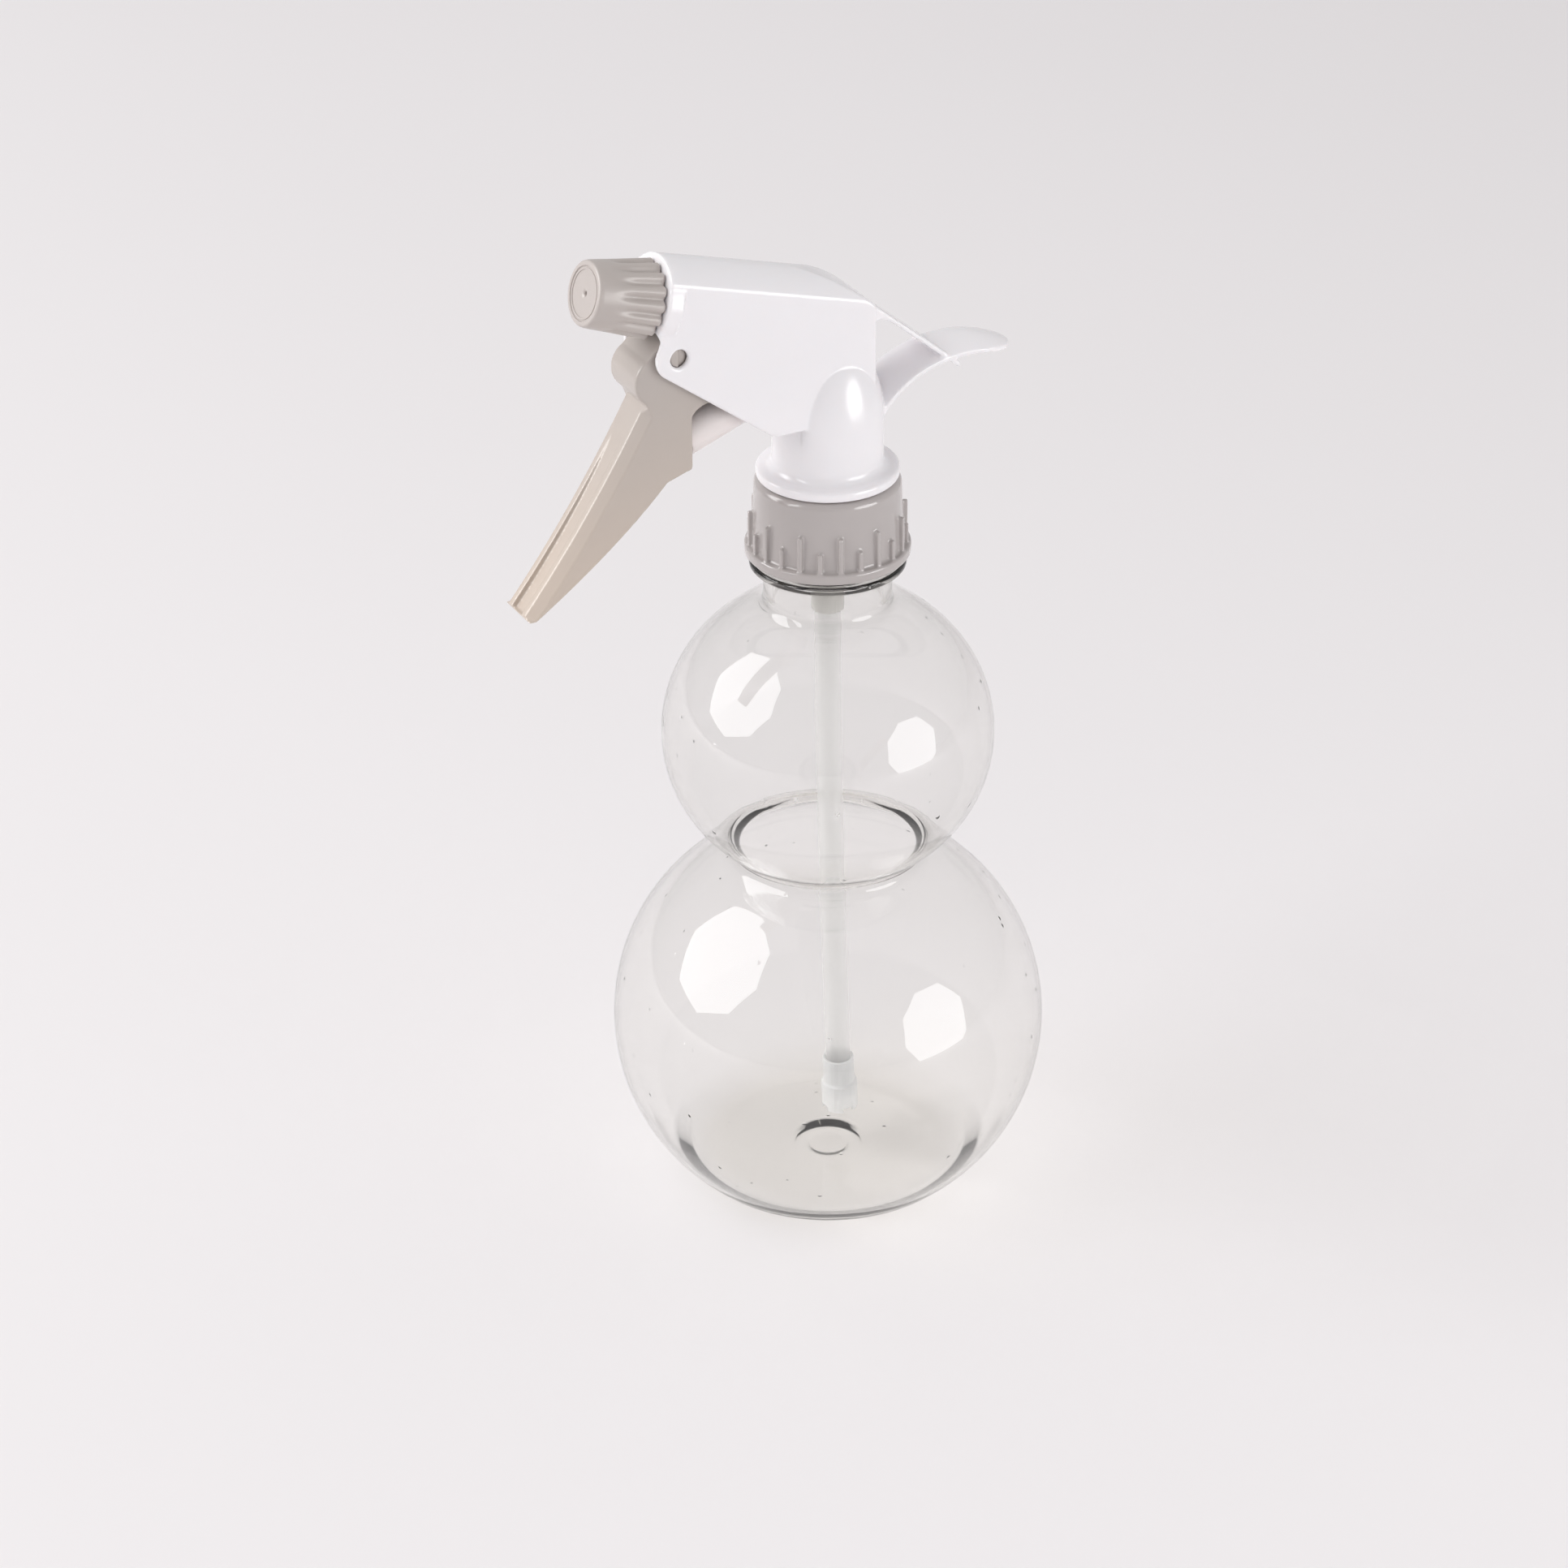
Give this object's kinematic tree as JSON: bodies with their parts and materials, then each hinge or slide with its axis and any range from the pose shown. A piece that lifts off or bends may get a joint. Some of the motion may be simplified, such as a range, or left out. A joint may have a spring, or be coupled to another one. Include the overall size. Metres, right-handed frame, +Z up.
{
  "type": "trigger spray bottle",
  "caption": "Clear two-globe bottle with a screw-on trigger sprayer: white shroud with a strapped tail, warm grey trigger, nozzle cap and ribbed collar, dip tube with foot strainer.",
  "frame": {"origin": "middle of the bottle's underside, on the flat gate boss that is level with the foot ring", "axes": "+Z up along the bottle's axis, +X the way the spray leaves the nozzle, +Y to the side so that the frame is right-handed"},
  "size_m": [0.1155, 0.0916, 0.2198],
  "materials": {
    "clear_bottle": "smoke-tinted clear blown plastic",
    "white_shroud": "glossy moulded white",
    "warm_grey_collar": "glossy moulded warm grey",
    "warm_grey_trigger": "satin sides and a glossy front face",
    "warm_grey_nozzle": "satin moulded warm grey",
    "white_body": "moulded white",
    "natural_piston": "unpigmented, slightly pink",
    "milky_tube": "milky translucent",
    "seal": "soft seal",
    "steel": "stainless wire and ball"
  },
  "bodies": {
    "bottle_body": {"bottle": "clear_bottle"},
    "head": {"shroud": "white_shroud", "pump_body": "white_body", "neck_gasket": "seal", "vent_seal": "seal", "tube_retainer": "milky_tube", "dip_tube": "milky_tube", "foot_strainer": "milky_tube", "strainer_screen": "milky_tube", "outlet_valve_seat": "natural_piston", "outlet_spring": "steel", "barrel_rear_plug": "white_body", "swirl_core": "natural_piston", "return_spring": "steel"},
    "collar_body": {"collar": "warm_grey_collar"},
    "trigger_body": {"trigger": "warm_grey_trigger"},
    "piston_body": {"piston": "natural_piston", "piston_seal": "natural_piston"},
    "nozzle_slide": {"nozzle_seal": "seal"},
    "nozzle_body": {"nozzle_cap": "warm_grey_nozzle"},
    "inlet_ball_body": {"inlet_ball": "steel"},
    "outlet_valve_body": {"outlet_valve": "natural_piston"}
  },
  "joints": [
    {"name": "head_lift", "type": "slide", "parent": "bottle_body", "child": "head", "axis": [0, 0, 1], "range_m": [0, 0.00634]},
    {"name": "collar_turn", "type": "hinge", "parent": "head", "child": "collar_body", "pos_m": [0, 0, 0.155], "axis": [0, 0, 1], "range_deg": [0, 540]},
    {"name": "trigger_pull", "type": "hinge", "parent": "head", "child": "trigger_body", "pos_m": [0.0366, 0, 0.19925], "axis": [0, 1, 0], "range_deg": [0, 20], "stiffness_Nm_per_rad": 1.2, "springref_deg": -20.05},
    {"name": "piston_stroke", "type": "slide", "parent": "head", "child": "piston_body", "axis": [-0.9379, 0, 0.3469], "range_m": [0, 0.00732], "deforming": ["return_spring"]},
    {"name": "nozzle_advance", "type": "slide", "parent": "head", "child": "nozzle_slide", "axis": [0.9613, 0, 0.2756], "range_m": [0, 0.0025]},
    {"name": "nozzle_turn", "type": "hinge", "parent": "nozzle_slide", "child": "nozzle_body", "pos_m": [0.05325, 0, 0.21372], "axis": [0.9613, 0, 0.2756], "range_deg": [0, 450]},
    {"name": "inlet_ball_lift", "type": "slide", "parent": "head", "child": "inlet_ball_body", "axis": [0, 0, 1], "range_m": [0, 0.0015]},
    {"name": "outlet_valve_lift", "type": "slide", "parent": "head", "child": "outlet_valve_body", "axis": [0.9613, 0, 0.2756], "range_m": [0, 0.001], "stiffness_N_per_m": 100, "springref_m": -0.001, "deforming": ["outlet_spring"]}
  ],
  "couplings": [
    {"joint": "collar_turn", "follows": "head_lift", "rad_per_m": 1485.4},
    {"joint": "trigger_pull", "follows": "piston_stroke", "rad_per_m": 47.678},
    {"joint": "nozzle_turn", "follows": "nozzle_advance", "rad_per_m": 3141.6}
  ]
}
